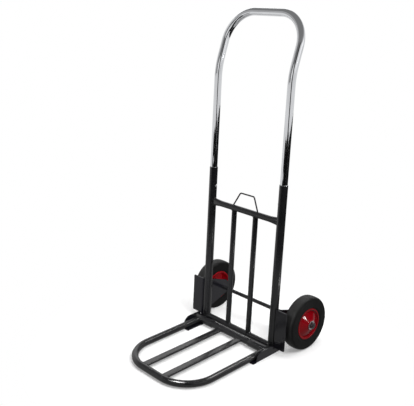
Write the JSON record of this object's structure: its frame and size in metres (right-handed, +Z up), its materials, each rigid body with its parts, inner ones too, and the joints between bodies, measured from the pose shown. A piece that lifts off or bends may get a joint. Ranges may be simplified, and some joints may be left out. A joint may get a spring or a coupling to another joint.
{
  "type": "folding luggage cart",
  "caption": "Folding hand cart with a telescoping chrome handle loop, black tube frame, hinged flat platform and wheels with red rims pressed out to a cone.",
  "frame": {"origin": "middle of the cart's outline on the floor", "axes": "+Z up, -Y towards the front of the platform, +X to the cart's right as seen from the front"},
  "size_m": [0.4526, 0.5248, 0.9792],
  "materials": {
    "black_paint": "gloss",
    "plate_paint": "satin",
    "chrome": "polished",
    "zinc": "zinc plated",
    "rim_paint": "gloss",
    "tyre": "matt",
    "nylon": "matt"
  },
  "bodies": {
    "frame": {"upright_left": "black_paint", "upright_right": "black_paint", "upper_crossbar": "black_paint", "lower_crossbar": "black_paint", "slat_left": "black_paint", "slat_right": "black_paint", "hook_loop": "black_paint", "hinge_shoe_left": "plate_paint", "hinge_shoe_right": "plate_paint", "hinge_rod": "black_paint", "wheel_bracket_left": "plate_paint", "wheel_bracket_right": "plate_paint", "axle": "black_paint", "axle_nuts": "zinc", "axle_washers": "zinc", "axle_spacers": "zinc"},
    "platform": {"platform_tube": "black_paint", "deck_bar_left": "black_paint", "deck_bar_right": "black_paint", "hinge_sleeve": "black_paint", "hinge_knuckle_left": "black_paint", "hinge_knuckle_right": "black_paint"},
    "handle": {"handle_tube": "chrome", "leg_glide_left": "nylon", "leg_glide_right": "nylon", "lock_spring_left": "zinc", "lock_spring_right": "zinc"},
    "lock_left": {"lock_button_left": "zinc"},
    "lock_right": {"lock_button_right": "zinc"},
    "wheel_left": {"tyre_left": "tyre", "rim_left": "rim_paint", "hub_bush_left": "nylon"},
    "wheel_right": {"tyre_right": "tyre", "rim_right": "rim_paint", "hub_bush_right": "nylon"}
  },
  "joints": [
    {"name": "platform_fold", "type": "hinge", "parent": "frame", "child": "platform", "pos_m": [0, 0.06165, 0.015], "axis": [-1, 0, 0], "range_deg": [0, 95]},
    {"name": "handle_slide", "type": "slide", "parent": "frame", "child": "handle", "axis": [0, 0.061, 0.9981], "range_m": [-0.25, 0], "deforming": ["lock_button_left", "lock_button_right"]},
    {"name": "lock_left_press", "type": "slide", "parent": "handle", "child": "lock_left", "axis": [-1, 0, 0], "range_m": [0, 0.0045], "stiffness_N_per_m": 1500, "deforming": ["lock_spring_left"]},
    {"name": "lock_right_press", "type": "slide", "parent": "handle", "child": "lock_right", "axis": [1, 0, 0], "range_m": [0, 0.0045], "stiffness_N_per_m": 1500, "deforming": ["lock_spring_right"]},
    {"name": "wheel_left_spin", "type": "hinge", "parent": "frame", "child": "wheel_left", "pos_m": [-0.1901, 0.17985, 0.0825], "axis": [1, 0, 0], "continuous": true},
    {"name": "wheel_right_spin", "type": "hinge", "parent": "frame", "child": "wheel_right", "pos_m": [0.1901, 0.17985, 0.0825], "axis": [1, 0, 0], "continuous": true}
  ]
}
